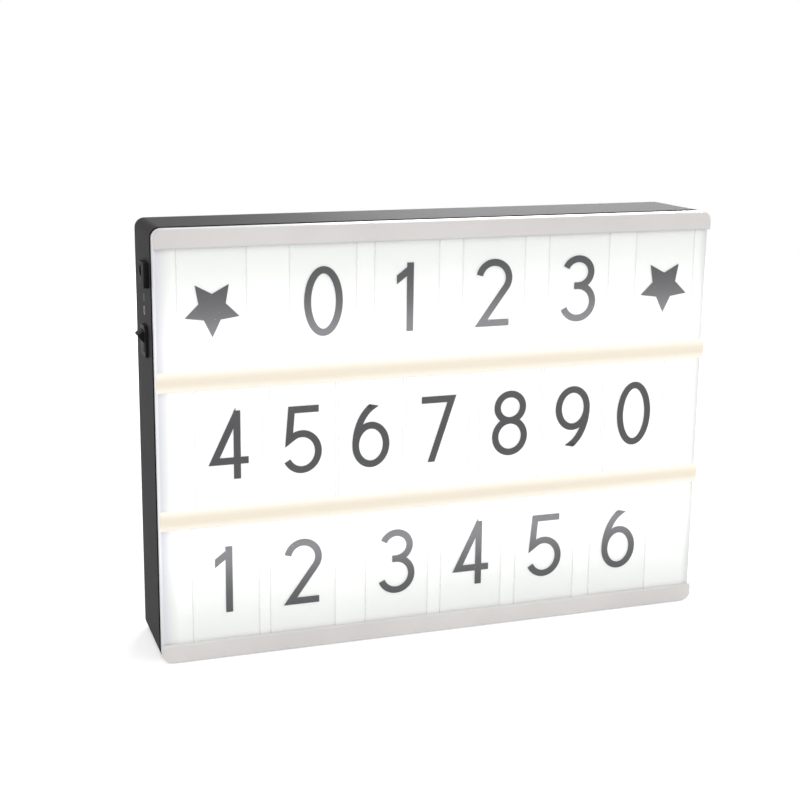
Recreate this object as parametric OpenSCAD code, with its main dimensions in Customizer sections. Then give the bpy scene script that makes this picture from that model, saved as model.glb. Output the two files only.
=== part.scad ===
// Cinema light box: a shallow lit box whose white front carries four card rails.
// Clear film cards with printed marks slide along the three windows between the rails.
//
// Millimetres. +X runs to the right along the front, +Y runs from the front to the back,
// +Z is up. The origin is on the flat underside, half way along the width and the depth.

/* [Box] */
// Width of the box
box_w = 300; // [285:1:360]
// Clear height of one card window, between two rails
window_h = 60; // [56:1:80]
// Radius of the four corners, as seen from the front
corner_r = 5; // [5:0.5:9]

/* [Front cover] */
// Thickness of the translucent front panel
panel_t = 2; // [1.5:0.1:3]
// Depth of the white cover from the panel's face to its rear edge
cover_depth = 4.4; // [4:0.1:7]
// Rounding of the cover's front edge
cover_edge_r = 1; // [0.5:0.1:1.4]
// How far the cover's sides stand in from the housing's
cover_inset = 0.3; // [0.1:0.1:0.8]
// How far the cover's flange reaches into the housing, past the shadow gap
flange_reach = 4; // [2.5:0.1:5]
// Thickness of the flange
flange_t = 1.6; // [1.2:0.1:2]
// Radius of a screw boss on the cover
cover_boss_r = 3.6; // [3:0.1:4]
// Length of a screw boss on the cover, from the panel's inner face
cover_boss_len = 10; // [9:0.1:12]

/* [Rear housing] */
// Depth of the black housing
housing_depth = 46.6; // [45:0.2:60]
// Thickness of the housing's side walls
housing_wall = 2.2; // [1.8:0.1:2.6]
// Thickness of the housing's back
back_t = 2.4; // [2.2:0.1:3]
// Rounding of the housing's rear edge
back_edge_r = 3; // [1:0.5:3.5]
// Rounding of the housing's front edge, beside the dark gap
rim_edge_r = 0.8; // [0.3:0.1:1.2]
// Width of the dark gap between the cover and the housing
shadow_gap = 1.4; // [0.8:0.1:2]
// Distance of the corner screws from the box's sides
screw_inset = 9.5; // [9:0.1:11]
// Radius of a screw pillar in the housing
pillar_r = 4.7; // [4.5:0.1:5]
// Radius of a board standoff in the housing
standoff_r = 3.5; // [3:0.1:4.5]

/* [Hanging slots] */
// Distance between the two hanging slots
hanger_spacing = 200; // [160:5:220]
// Distance of a slot's entry hole below the top of the box
hanger_drop = 26; // [24:1:30]
// Radius of the entry hole, for the head of a screw
hanger_entry_r = 4.5; // [4:0.1:4.8]
// Radius of the narrow slot, for the neck of a screw
hanger_slot_r = 2.1; // [1.6:0.1:2.4]
// Length of the narrow slot above the entry hole's centre
hanger_slot_len = 9; // [7:0.5:10]
// Depth of the pocket behind a slot
hanger_pocket_depth = 6; // [4.5:0.5:8]
// Extra radius of the pocket, past the entry hole
hanger_pocket_room = 0.6; // [0.3:0.1:1]

/* [Card rails] */
// Height of one rail
rail_h = 10; // [9:0.5:14]
// How far a rail stands out from the panel
rail_proud = 2.6; // [2.2:0.1:3.5]
// Depth of a card groove, up or down into the rail
groove_depth = 2.5; // [2:0.1:3]
// Width of a card groove, from the panel's face to the rail's lip
groove_w = 1; // [0.8:0.1:1.2]
// Rounding of a rail's front edges
rail_edge_r = 1.2; // [0.5:0.1:1.4]
// How far a rail stops short of the cover's side
rail_end_gap = 0.2; // [0.1:0.1:0.8]

/* [Cards] */
// Width of one card
card_w = 35; // [30:0.5:38]
// Thickness of the clear film
film_t = 0.3; // [0.2:0.05:0.4]
// Radius of a card's corners
card_corner_r = 1; // [0.3:0.1:2]

/* [Light] */
// Distance from the end of a board of lamps to the box's side
board_inset = 30; // [27.5:0.5:35]
// Height of one board
board_h = 10; // [9:0.5:14]
// Thickness of one board
board_t = 1.2; // [0.8:0.1:1.6]
// Number of lamps on each board
leds_per_board = 9; // [5:1:11]
// Side of one square lamp
led_size = 5; // [3.5:0.1:5.5]
// Thickness of one lamp
led_t = 1.6; // [1:0.1:2]
// Thickness of the white reflector sheet
reflector_t = 0.5; // [0.3:0.1:0.8]
// Distance of a board's two screws from its ends
board_screw_inset = 15; // [13:1:40]
// Distance of the nearer link wire from a board's end
link_inset = 4; // [3:0.5:5]
// Distance between the two link wires
link_step = 4; // [3:0.5:4.5]

/* [Screws] */
// Radius of a housing screw's thread
housing_screw_r = 1.5; // [1.3:0.1:1.6]
// Radius of a housing screw's head
housing_head_r = 2.9; // [2.6:0.1:3]
// Height of a housing screw's head
housing_head_h = 2.2; // [1.6:0.1:2.6]
// Length of a housing screw under its head
housing_screw_len = 12; // [11:0.5:12.5]
// Thickness of the floor that a housing screw's head seats on
screw_floor_t = 4; // [3.5:0.1:5]
// Radius of a board screw's thread
board_screw_r = 1.25; // [1:0.05:1.4]
// Radius of a board screw's head
board_head_r = 2.3; // [2:0.1:2.6]
// Height of a board screw's head
board_head_h = 1.5; // [1:0.1:2]
// Length of a board screw under its head
board_screw_len = 8; // [6:0.5:9]

/* [Switch] */
// Distance of the switch's middle below the top of the box
switch_drop = 58; // [56:1:62]
// Distance of the switch's middle behind the front plane of the rails
switch_depth = 26; // [25:0.5:27]
// Height of the switch's frame
switch_frame_h = 15.6; // [15.6:0.1:17]
// Width of the switch's frame, front to back
switch_frame_w = 13.6; // [13.6:0.1:15]
// How far the frame stands out from the housing
switch_frame_proud = 1.6; // [1.5:0.1:2.5]
// Radius of the frame's two upper corners
switch_frame_top_r = 3.4; // [1.5:0.1:3.4]
// Radius of the frame's two lower corners
switch_frame_foot_r = 1.2; // [0.5:0.1:2.4]
// Radius of the rocker's round ends about its pivot
rocker_r = 5.4; // [5:0.1:5.6]
// Width of the rocker, front to back
rocker_w = 9.4; // [8:0.1:9.4]
// Tilt of the rocker to each side, in degrees
rocker_tilt = 20; // [12:1:21]
// Radius of the rocker's pivots
rocker_pivot_r = 0.8; // [0.6:0.05:0.8]

/* [Power socket] */
// Distance of the socket hole's centre below the top of the box
socket_drop = 22.5; // [22:0.5:24]
// Distance of the socket hole's centre behind the front plane of the rails
socket_depth = 22.5; // [21.5:0.5:23]
// How far the socket's face stands out from the housing
socket_proud = 2.5; // [1.5:0.1:3.5]
// Radius of the socket's hole
socket_hole_r = 2.8; // [2.7:0.05:3]
// Depth of the socket's hole
socket_hole_len = 9.5; // [9:0.1:11]
// Radius of the socket's centre pin
socket_pin_r = 1; // [0.8:0.05:1.25]
// Radius of the socket's barrel, inside the housing
socket_barrel_r = 4.4; // [4:0.1:4.6]

/* [Battery bay] */
// Number of cells, side by side
cells = 6; // [4:2:8]
// Radius of one cell
cell_r = 7.1; // [6.8:0.05:7.2]
// Length of one cell with its terminal
cell_len = 50.5; // [49:0.1:51]
// Distance between the centres of two cells
cell_pitch = 15; // [14.8:0.1:16]
// Height of the middle of the bay above the underside
bay_z = 80; // [72:1:86]
// Thickness of the bay's walls
bay_wall = 1.6; // [1.2:0.1:2.2]
// Length of a compressed cell spring
spring_len = 4.2; // [4:0.1:5.5]
// Radius of a spring's wire
spring_wire_r = 0.35; // [0.3:0.05:0.4]
// Thickness of a contact plate
contact_t = 0.4; // [0.3:0.05:0.6]
// Height of a contact plate, and how far it spans past its cells' centres, twice over
contact_w = 11; // [9:0.5:12]
// Width of the tab on each of the two end contacts
contact_tab_w = 3.2; // [2:0.1:4]
// How far a tab stands past the bay's wall, for its wire
contact_tab_len = 4; // [3:0.5:6]
// Thickness of a rib between two cells
cell_rib_t = 1; // [0.6:0.1:1.2]
// Height of a rib between two cells
cell_rib_h = 3; // [2:0.5:4]
// Distance of a rib's end short of its cell's end
cell_rib_inset = 5; // [4:0.5:10]
// Thickness of the battery door
door_t = 1.5; // [1.2:0.1:1.6]
// Radius of the rounded bead along the door's hinge edge
door_bead_r = 1.6; // [1.4:0.05:1.65]
// Radius of the door's hinge pins
door_pin_r = 0.9; // [0.7:0.05:1]
// Length of a door hinge pin
door_pin_len = 2.2; // [1.8:0.1:2.6]

/* [Wires] */
// Radius of an insulated wire
wire_r = 0.7; // [0.5:0.05:0.8]

/* [Hidden] */
// smoothness of round parts
$fn = 64;
eps = 0.01;

// clearances
flange_clear = 0.25;      // flange to housing wall
screw_fit = 0.02;         // thread to its pilot hole
screw_clear = 0.2;        // screw to a hole that it only passes through
head_clear = 0.4;         // screw head to its counterbore
card_clear = 0.3;         // card to the floor of its groove
cutout_clear = 0.1;       // switch and socket to their holes in the wall
rocker_clear = 0.15;      // rocker to the cavity in its frame
pivot_clear = 0.05;       // hinge pins to their bores
door_gap = 0.4;           // battery door to the edge of its recess
door_seat_gap = 0.2;      // battery door to the ledge under it
cell_clear = 0.3;         // cell to the floor of the bay
cell_to_door = 0.5;       // cell to the closed door
cell_slack = 0.3;         // spare length between a cell and its contacts
cell_side_clear = 0.9;    // outer cells to the bay's side walls
tab_clear = 0.3;          // contact tab to its slot in the bay's wall
trough_clear = 0.3;       // door's hinge bead to the trough that it turns in
pin_bore_room = 0.4;      // hinge pin's end to the end of its bore
latch_side_clear = 2;     // latch foot to the sides of its notch
pilot_room = 0.6;         // screw's end to the end of its pilot hole
reflector_gap = 1;        // reflector sheet to the housing's walls
nut_fit = 0.02;           // socket nut to the barrel
wire_clear = 0.5;         // wire to a hole that it passes through

// the stack from front to back
rows = 3;
box_h = (rows + 1) * rail_h + rows * window_h;
box_d = rail_proud + cover_depth + shadow_gap + housing_depth;
front_y = -box_d / 2;
panel_y = front_y + rail_proud;
cover_back_y = panel_y + cover_depth;
housing_y = cover_back_y + shadow_gap;
back_y = box_d / 2;
back_in_y = back_y - back_t;
boss_end_y = panel_y + panel_t + cover_boss_len;
hanger_z = box_h - hanger_drop;

// cover
flange_inset = housing_wall + flange_clear;
skirt_t = flange_inset + flange_t;
rail_inset = cover_inset + rail_end_gap;

// cards
card_h = window_h + 2 * (groove_depth - card_clear);
card_y = panel_y - (groove_w + film_t) / 2;
row_pitch = window_h + rail_h;
// Gaps beside the cards of each row, from the left end to the right end. The free length
// of a row is shared out in these proportions, so that the cards never overlap.
row_gaps = [
    [15.9, 5.4, 16, 6.9, 7.9, 9.4, 28.5],
    [18.3, 3.2, 1, 1.4, 5.7, 1.3, 1.5, 22.6],
    [11, 21.2, 9, 12.4, 13, 15.2, 8.2],
];
function sum_to(list, n) = n < 1 ? 0 : list[n - 1] + sum_to(list, n - 1);
function card_count(row) = len(row_gaps[row]) - 1;
function gap_unit(row) =
    (box_w - card_count(row) * card_w) / sum_to(row_gaps[row], len(row_gaps[row]));
function card_left(row, i) =
    -box_w / 2 + i * card_w + gap_unit(row) * sum_to(row_gaps[row], i + 1);
function card_bottom(row) = rail_h + row * row_pitch - groove_depth + card_clear;

// battery bay, worked out from the cells
door_out_y = back_y - 0.1;
door_in_y = door_out_y - door_t;
ledge_y = door_in_y - door_seat_gap;
cell_y = door_in_y - cell_to_door - cell_r;
bay_floor_y = cell_y - cell_r - cell_clear;
bay_front_y = bay_floor_y - bay_wall;
bay_w = (cells - 1) * cell_pitch + 2 * (cell_r + cell_side_clear);
bay_h = 2 * contact_t + spring_len + cell_len + cell_slack;
bay_z0 = bay_z - bay_h / 2;
bay_z1 = bay_z + bay_h / 2;
side_ledge = 3;
latch_ledge = 3.2;
hinge_ledge = 2 * door_bead_r + door_gap + 0.6;
recess_w = bay_w + 2 * side_ledge;
recess_z0 = bay_z0 - latch_ledge;
recess_z1 = bay_z1 + hinge_ledge;
door_w = recess_w - 2 * door_gap;
door_z0 = recess_z0 + door_gap;
hinge_z = recess_z1 - door_gap - door_bead_r;
hinge_y = door_out_y - door_bead_r;
trough_r = door_bead_r + trough_clear;
hinge_block_t = 2.9;
latch_w = 14;
latch_t = 1.6;
latch_notch_depth = latch_t + 0.6;
latch_tongue_w = 16;
latch_slot_w = 1;
latch_slot_len = 9;
scoop_r = 8;
scoop_depth = 1.2;
tab_x = (cells - 1) / 2 * cell_pitch;
tab_y0 = cell_y - 0.3 * contact_w;
tab_y = tab_y0 + contact_t / 2;
tab_top = bay_z1 + bay_wall + contact_tab_len;

// light
reflector_y = bay_front_y - reflector_t;
board_y = reflector_y - board_t;
led_y = board_y - led_t;
board_len = box_w - 2 * board_inset;
board_screw_x = board_len / 2 - board_screw_inset;
link_x = board_len / 2 - link_inset;
link_offset = board_h / 4;
feed_x = board_screw_x - 12;
lead_front_y = bay_front_y + 3;
lead_back_y = bay_front_y + 9.5;
// Two boards, each a quarter of the box's height from its edge. Board 0 is the lower one.
boards = [0, 1];
function board_z(i) = box_h * (2 * i + 1) / 4;
link_ends = [board_z(0) + link_offset, board_z(1) - link_offset];

// switch, with u measured outwards from the housing's left side
wall_x = -box_w / 2;
switch_y = front_y + switch_depth;
switch_z = box_h - switch_drop;
pivot_u = 0.3;
facet_u = switch_frame_proud + 0.2 - pivot_u;
switch_body_h = 2 * (rocker_r + rocker_clear) + 1.3;
switch_body_w = 11.9;
switch_body_len = 13;
switch_blade_z = 3.5;
switch_blade_len = 8;
switch_blade_t = 0.8;
switch_blade_w = 4.8;

// power socket
socket_y = front_y + socket_depth;
socket_z = box_h - socket_drop;
socket_face_x = wall_x - socket_proud;
socket_floor_x = socket_face_x + socket_hole_len;
socket_barrel_end_x = socket_floor_x + 3.5;
lug_len = 6;
lug_w = 3;
lug_t = 0.5;
lug_step = 2.8;
nut_r = 6.2;
nut_t = 2;
lug_end_x = socket_barrel_end_x + lug_len;
blade_end_x = wall_x + switch_body_len + switch_blade_len;

// Node names

// ---------------------------------------------------------------- helpers

// A flat shape drawn in X and Z, extruded back along +Y from y0.
module plate_y(y0, t) {
    translate([0, y0 + t, 0]) rotate([90, 0, 0]) linear_extrude(t) children();
}

// A flat shape drawn in Y and Z, extruded along +X from x0.
module bar_x(x0, len) {
    translate([x0, 0, 0]) rotate([90, 0, 90]) linear_extrude(len) children();
}

// A round rod along +Y from y0.
module rod_y(x, y0, z, len, r) {
    translate([x, y0, z]) rotate([-90, 0, 0]) cylinder(h = len, r = r);
}

// A round rod along +X from x0.
module rod_x(x0, y, z, len, r) {
    translate([x0, y, z]) rotate([0, 90, 0]) cylinder(h = len, r = r);
}

// Flat rectangle centred on the origin with true round corners.
module round_rect(w, h, r) {
    square([w - 2 * r, h], center = true);
    square([w, h - 2 * r], center = true);
    for (sx = [-1, 1], sz = [-1, 1])
        translate([sx * (w / 2 - r), sz * (h / 2 - r)]) circle(r);
}

// Carries a flat profile round the box's rounded outline. The profile's first coordinate
// is the distance in from the outside, its second is Y. Four straight runs meet four
// quarter turns face to face.
module round_frame(w, h, r) {
    for (top = [0, 1])
        translate([0, 0, top * h]) mirror([0, 0, top]) {
            translate([w / 2 - r, 0, 0]) rotate([0, -90, 0])
                linear_extrude(w - 2 * r) children();
            for (left = [0, 1])
                mirror([left, 0, 0])
                    translate([w / 2 - r, 0, r]) rotate([-90, 0, 0])
                        rotate_extrude(angle = 90)
                            translate([r, 0]) mirror([1, 0]) children();
        }
    for (left = [0, 1])
        mirror([left, 0, 0])
            translate([w / 2, 0, h - r]) rotate([0, 180, 0])
                linear_extrude(h - 2 * r) children();
}

// The flat middle that closes what round_frame leaves open.
module middle_plate(w, h, r, y0, t) {
    translate([-w / 2 + r, y0, r]) cube([w - 2 * r, t, h - 2 * r]);
}

function unit(v) = v / norm(v);

// One point of a smooth curve through the points p, between p[i] and p[i + 1].
function curve_point(p, i, t) =
    let (a = p[max(i - 1, 0)], b = p[i], c = p[i + 1], d = p[min(i + 2, len(p) - 1)])
    0.5 * (2 * b + (c - a) * t + (2 * a - 5 * b + 4 * c - d) * t * t
           + (3 * b - a - 3 * c + d) * t * t * t);
function curve(p, steps) = [
    for (i = [0 : len(p) - 2]) for (k = [0 : steps - 1]) curve_point(p, i, k / steps),
    p[len(p) - 1]
];
// Directions along the points q, with the first and last ones given.
function directions(q, first, last) = [
    for (i = [0 : len(q) - 1])
        i == 0 ? first : i == len(q) - 1 ? last : unit(q[i + 1] - q[i - 1])
];
// One sideways direction a point, each turned as little as possible from the one before.
function sideways(t, i, found) =
    i == len(t) ? found
    : sideways(t, i + 1, concat(found, [unit(found[i - 1] - (found[i - 1] * t[i]) * t[i])]));

// Round tube along the points q, closed flat at both ends.
module tube(q, r, first, last, sides) {
    t = directions(q, first, last);
    start = unit(cross(t[0], abs(t[0][2]) < 0.9 ? [0, 0, 1] : [1, 0, 0]));
    n = sideways(t, 1, [start]);
    rings = len(q);
    points = [
        for (i = [0 : rings - 1]) for (k = [0 : sides - 1])
            q[i] + r * (cos(k * 360 / sides) * n[i] + sin(k * 360 / sides) * cross(t[i], n[i]))
    ];
    walls = [
        for (i = [0 : rings - 2]) for (k = [0 : sides - 1])
            let (a = i * sides + k, b = i * sides + (k + 1) % sides)
            each [[a, a + sides, b + sides], [a, b + sides, b]]
    ];
    last_ring = (rings - 1) * sides;
    ends = [
        for (k = [1 : sides - 2])
            each [[0, k, k + 1], [last_ring, last_ring + k + 1, last_ring + k]]
    ];
    polyhedron(points, concat(walls, ends));
}

// Insulated wire through the route's points. It leaves and arrives straight.
module wire(route, steps) {
    last = len(route) - 1;
    tube(curve(route, steps), wire_r, unit(route[1] - route[0]),
         unit(route[last] - route[last - 1]), 8);
}

// ---------------------------------------------------------------- places

// Puts a child at each corner screw.
module at_corners() {
    for (sx = [-1, 1], z = [screw_inset, box_h - screw_inset])
        translate([sx * (box_w / 2 - screw_inset), 0, z]) children();
}

// Puts a child at each screw of the listed boards.
module at_board_screws(list) {
    for (i = list, sx = [-1, 1]) translate([sx * board_screw_x, 0, board_z(i)]) children();
}

// Puts a child at each hanging slot.
module at_hangers() {
    for (sx = [-1, 1]) translate([sx * hanger_spacing / 2, 0, hanger_z]) children();
}

// Puts a child at the middle of each cell.
module at_cell(i) {
    translate([(i - (cells - 1) / 2) * cell_pitch, cell_y, bay_z]) children();
}

// ---------------------------------------------------------------- rear housing

// What rounding takes off a square corner that points to the outside and to the front.
module edge_cut(r) {
    difference() {
        translate([-1, -1]) square(r + 1);
        translate([r, r]) circle(r);
    }
}

// Cross-section of the housing's rim, with its rounded front and rear edges.
module housing_profile() {
    difference() {
        union() {
            translate([0, housing_y]) square([housing_wall, housing_depth]);
            translate([0, back_in_y]) square([corner_r, back_t]);
        }
        translate([0, housing_y]) edge_cut(rim_edge_r);
        translate([0, back_y - back_edge_r]) difference() {
            translate([-1, 0]) square(back_edge_r + 1);
            translate([back_edge_r, 0]) circle(back_edge_r);
        }
    }
}

// Outline of a hanging slot: a round entry with a narrow slot above it.
module hanger_outline(entry_r, slot_r) {
    circle(entry_r);
    translate([-slot_r, 0]) square([2 * slot_r, hanger_slot_len]);
    translate([0, hanger_slot_len]) circle(slot_r);
}

// Closed pocket behind a hanging slot, as a solid block.
module hanger_block() {
    r = hanger_entry_r + hanger_pocket_room + bay_wall;
    plate_y(back_in_y - hanger_pocket_depth - bay_wall, hanger_pocket_depth + bay_wall + eps)
        hanger_outline(r, r);
}

module hanger_cut() {
    plate_y(back_in_y - eps, back_t + 2 * eps) hanger_outline(hanger_entry_r, hanger_slot_r);
    pocket_r = hanger_entry_r + hanger_pocket_room;
    plate_y(back_in_y - hanger_pocket_depth, hanger_pocket_depth)
        hanger_outline(pocket_r, pocket_r);
}

// Everything in the housing that stands on its back: pillars, standoffs, bay walls.
module housing_inside() {
    at_corners() rod_y(0, boss_end_y, 0, back_in_y - boss_end_y + eps, pillar_r);
    at_board_screws(boards)
        rod_y(0, bay_front_y, 0, back_in_y - bay_front_y + eps, standoff_r);
    at_hangers() hanger_block();
    translate([-bay_w / 2 - bay_wall, bay_front_y, bay_z0 - bay_wall])
        cube([bay_w + 2 * bay_wall, back_in_y - bay_front_y + eps, bay_h + 2 * bay_wall]);
    // thicker strip that the door's hinge turns in
    block_w = recess_w + 2 * (door_pin_len + 1.5);
    translate([-block_w / 2, back_in_y - hinge_block_t, bay_z1])
        cube([block_w, hinge_block_t + eps, hinge_ledge + bay_wall]);
}

// What is taken out of the housing for the battery bay and its door.
module bay_cut() {
    translate([-bay_w / 2, bay_floor_y, bay_z0])
        cube([bay_w, back_y - bay_floor_y + eps, bay_h]);
    translate([-recess_w / 2, ledge_y, recess_z0])
        cube([recess_w, back_y - ledge_y + eps, recess_z1 - recess_z0]);
    rod_x(-recess_w / 2, hinge_y, hinge_z, recess_w, trough_r);
    // bores for the hinge pins
    pin_bore_len = door_pin_len + pin_bore_room;
    for (sx = [-1, 1])
        rod_x(sx * (door_w / 2 + pin_bore_len / 2) - pin_bore_len / 2, hinge_y, hinge_z,
              pin_bore_len, door_pin_r + pivot_clear);
    // notch for the latch's foot, and the scoop for a fingertip
    notch_w = latch_w + 2 * latch_side_clear;
    translate([-notch_w / 2, ledge_y - latch_notch_depth, recess_z0 + door_seat_gap])
        cube([notch_w, latch_notch_depth + 1, latch_ledge]);
    rod_y(0, back_y - scoop_depth, recess_z0, scoop_depth + eps, scoop_r);
    // slots for the two end contacts
    for (sx = [-1, 1])
        translate([sx * tab_x - contact_tab_w / 2 - tab_clear, tab_y0 - tab_clear, bay_z1 - eps])
            cube([contact_tab_w + 2 * tab_clear, contact_t + 2 * tab_clear, bay_wall + 2 * eps]);
}

// Low ribs between the cells, clear of the contact plates at both ends.
module cell_ribs() {
    rib_len = cell_len - 2 * cell_rib_inset;
    foot = bay_wall / 2;
    for (i = [1 : cells - 1])
        translate([(i - cells / 2) * cell_pitch - cell_rib_t / 2, bay_floor_y - foot,
                   bay_z - rib_len / 2])
            cube([cell_rib_t, foot + cell_rib_h, rib_len]);
}

module rear_housing() {
    color("#4b4848") {
        difference() {
            union() {
                round_frame(box_w, box_h, corner_r) housing_profile();
                middle_plate(box_w, box_h, corner_r, back_in_y, back_t);
                housing_inside();
            }
            bay_cut();
            at_hangers() hanger_cut();
            // deep counterbores from the back, and the hole through each pillar's floor
            seat_y = boss_end_y + screw_floor_t;
            at_corners() {
                rod_y(0, seat_y, 0, back_y - seat_y + eps, housing_head_r + head_clear);
                rod_y(0, boss_end_y - eps, 0, screw_floor_t + 2 * eps,
                      housing_screw_r + screw_clear);
            }
            at_board_screws(boards)
                rod_y(0, bay_front_y - eps, 0, board_screw_len, board_screw_r + screw_fit);
            // switch and socket holes in the left wall
            hole_h = switch_body_h + 2 * cutout_clear;
            hole_w = switch_body_w + 2 * cutout_clear;
            translate([wall_x - 1, switch_y - hole_w / 2, switch_z - hole_h / 2])
                cube([housing_wall + 2, hole_w, hole_h]);
            rod_x(wall_x - 1, socket_y, socket_z, housing_wall + 2,
                  socket_barrel_r + cutout_clear);
        }
        cell_ribs();
    }
}

// ---------------------------------------------------------------- front cover and rails

// Cross-section of the cover's rim: skirt, flange and the panel's edge.
module cover_profile() {
    difference() {
        union() {
            translate([cover_inset, panel_y]) square([skirt_t - cover_inset, cover_depth]);
            translate([flange_inset, panel_y])
                square([flange_t, cover_depth + shadow_gap + flange_reach]);
            translate([cover_inset, panel_y]) square([corner_r - cover_inset, panel_t]);
        }
        translate([cover_inset, panel_y]) edge_cut(cover_edge_r);
    }
}

module front_cover() {
    color("#f2f5f5") difference() {
        union() {
            round_frame(box_w, box_h, corner_r) cover_profile();
            middle_plate(box_w, box_h, corner_r, panel_y, panel_t);
            at_corners()
                rod_y(0, panel_y + panel_t - eps, 0, cover_boss_len + eps, cover_boss_r);
        }
        pilot_len = housing_screw_len - screw_floor_t + pilot_room;
        at_corners()
            rod_y(0, boss_end_y - pilot_len, 0, pilot_len + eps, housing_screw_r + screw_fit);
    }
}

// Cross-section of a rail in Y and Z, from z0 up. A groove opens upwards, downwards or both.
module rail_profile(z0, up, down) {
    translate([front_y, z0]) difference() {
        union() {
            translate([rail_edge_r, 0]) square([rail_proud - rail_edge_r, rail_h]);
            translate([0, rail_edge_r]) square([rail_proud, rail_h - 2 * rail_edge_r]);
            for (z = [rail_edge_r, rail_h - rail_edge_r])
                translate([rail_edge_r, z]) circle(rail_edge_r);
        }
        if (up)
            translate([rail_proud - groove_w, rail_h - groove_depth])
                square([groove_w + 1, groove_depth + 1]);
        if (down)
            translate([rail_proud - groove_w, -1]) square([groove_w + 1, groove_depth + 1]);
    }
}

module rail(index) {
    up = index < rows;
    down = index > 0;
    len = box_w - 2 * rail_inset;
    intersection() {
        bar_x(-len / 2, len) rail_profile(index * row_pitch, up, down);
        plate_y(front_y - 1, rail_proud + 2) translate([0, box_h / 2])
            round_rect(len, box_h - 2 * rail_inset, corner_r - rail_inset);
    }
}

module rail_top() { color("#dad6d5") rail(3); }
module rail_upper() { color("#f2e9db") rail(2); }
module rail_lower() { color("#f2e9db") rail(1); }
module rail_bottom() { color("#dad6d5") rail(0); }

// ---------------------------------------------------------------- cards

// One clear card, counted from the left end of its row. Row 0 is the lowest.
module card(row, i) {
    color("#e8f0f0", 0.5)
        plate_y(card_y, film_t)
            translate([card_left(row, i) + card_w / 2, card_bottom(row) + card_h / 2])
                round_rect(card_w, card_h, card_corner_r);
}

// ---------------------------------------------------------------- light

module reflector_sheet() {
    w = box_w - 2 * (housing_wall + reflector_gap);
    h = box_h - 2 * (housing_wall + reflector_gap);
    color("white") difference() {
        plate_y(reflector_y, reflector_t) translate([0, box_h / 2])
            round_rect(w, h, corner_r - housing_wall);
        at_corners() rod_y(0, reflector_y - 1, 0, reflector_t + 2, pillar_r + reflector_gap);
        at_board_screws(boards)
            rod_y(0, reflector_y - 1, 0, reflector_t + 2, board_screw_r + screw_clear);
        // holes for the wires that end on the boards' backs
        for (k = [0, 1], z = link_ends)
            rod_y(link_x - k * link_step, reflector_y - 1, z, reflector_t + 2, wire_r + wire_clear);
        rod_y(-feed_x, reflector_y - 1, board_z(1), reflector_t + 2, wire_r + wire_clear);
        // notch beside the switch and the socket
        notch_w = 26;
        translate([-w / 2 - 1, reflector_y - 1, socket_z - 9.5])
            cube([notch_w + 1, reflector_t + 2, 15]);
    }
}

module led_board(i) {
    color("#eceee9") difference() {
        plate_y(board_y, board_t) translate([0, board_z(i)])
            square([board_len, board_h], center = true);
        at_board_screws([i])
            rod_y(0, board_y - 1, 0, board_t + 2, board_screw_r + screw_clear);
    }
}

module led_board_upper() { led_board(1); }
module led_board_lower() { led_board(0); }

// Lamps sit between the two screws of each board, at an even pitch.
module leds() {
    span = 2 * (board_screw_x - board_head_r - led_size);
    color("#fff3c4")
        for (board = boards, i = [0 : leds_per_board - 1])
            translate([(i / (leds_per_board - 1) - 0.5) * span, 0, board_z(board)])
                plate_y(led_y, led_t) square(led_size, center = true);
}

// One small resistor beside each end of each board.
module resistors() {
    len = 3.2;
    h = 1.6;
    t = 0.6;
    color("#2b2b2d")
        for (i = boards, sx = [-1, 1])
            translate([sx * (board_screw_x + board_head_r + len), board_y - t, board_z(i)])
                translate([-len / 2, 0, -h / 2]) cube([len, t, h]);
}

module board_screws() {
    color("#b9bcc0") at_board_screws(boards) {
        rod_y(0, board_y - board_head_h, 0, board_head_h, board_head_r);
        rod_y(0, board_y - eps, 0, board_screw_len - 0.5, board_screw_r);
    }
}

module housing_screws() {
    seat_y = boss_end_y + screw_floor_t;
    color("#b9bcc0") at_corners() difference() {
        union() {
            rod_y(0, seat_y, 0, housing_head_h, housing_head_r);
            rod_y(0, seat_y - housing_screw_len, 0, housing_screw_len + eps, housing_screw_r);
        }
        // cross recess
        for (a = [0, 90])
            translate([0, seat_y + housing_head_h, 0]) rotate([0, a, 0])
                cube([3.2, 2.4, 0.8], center = true);
    }
}

// ---------------------------------------------------------------- switch

// The space that the rocker turns in, and the rocker's own outline, in X and Z about its
// pivot. Outwards is -X.
module rocker_outline(r, floor_u) {
    intersection() {
        circle(r);
        translate([-2 * r, -2 * r]) square([2 * r + floor_u, 4 * r]);
    }
}

// The frame seen from the left: two larger rounds at its top, two smaller ones at its foot.
module switch_frame_outline() {
    round_rect(switch_frame_w, switch_frame_h, switch_frame_top_r);
    translate([0, -switch_frame_h / 4])
        round_rect(switch_frame_w, switch_frame_h / 2, switch_frame_foot_r);
}

module switch_frame() {
    color("#262527") difference() {
        union() {
            bar_x(wall_x - switch_frame_proud, switch_frame_proud)
                translate([switch_y, switch_z]) switch_frame_outline();
            translate([wall_x - eps, switch_y - switch_body_w / 2, switch_z - switch_body_h / 2])
                cube([switch_body_len + eps, switch_body_w, switch_body_h]);
        }
        cavity_w = rocker_w + 2 * rocker_clear;
        translate([wall_x - pivot_u, 0, switch_z])
            plate_y(switch_y - cavity_w / 2, cavity_w)
                rocker_outline(rocker_r + rocker_clear, 5.2);
        pin_bore = 0.95;
        rod_y(wall_x - pivot_u, switch_y - cavity_w / 2 - pin_bore, switch_z,
              cavity_w + 2 * pin_bore, rocker_pivot_r + pivot_clear);
    }
}

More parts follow.
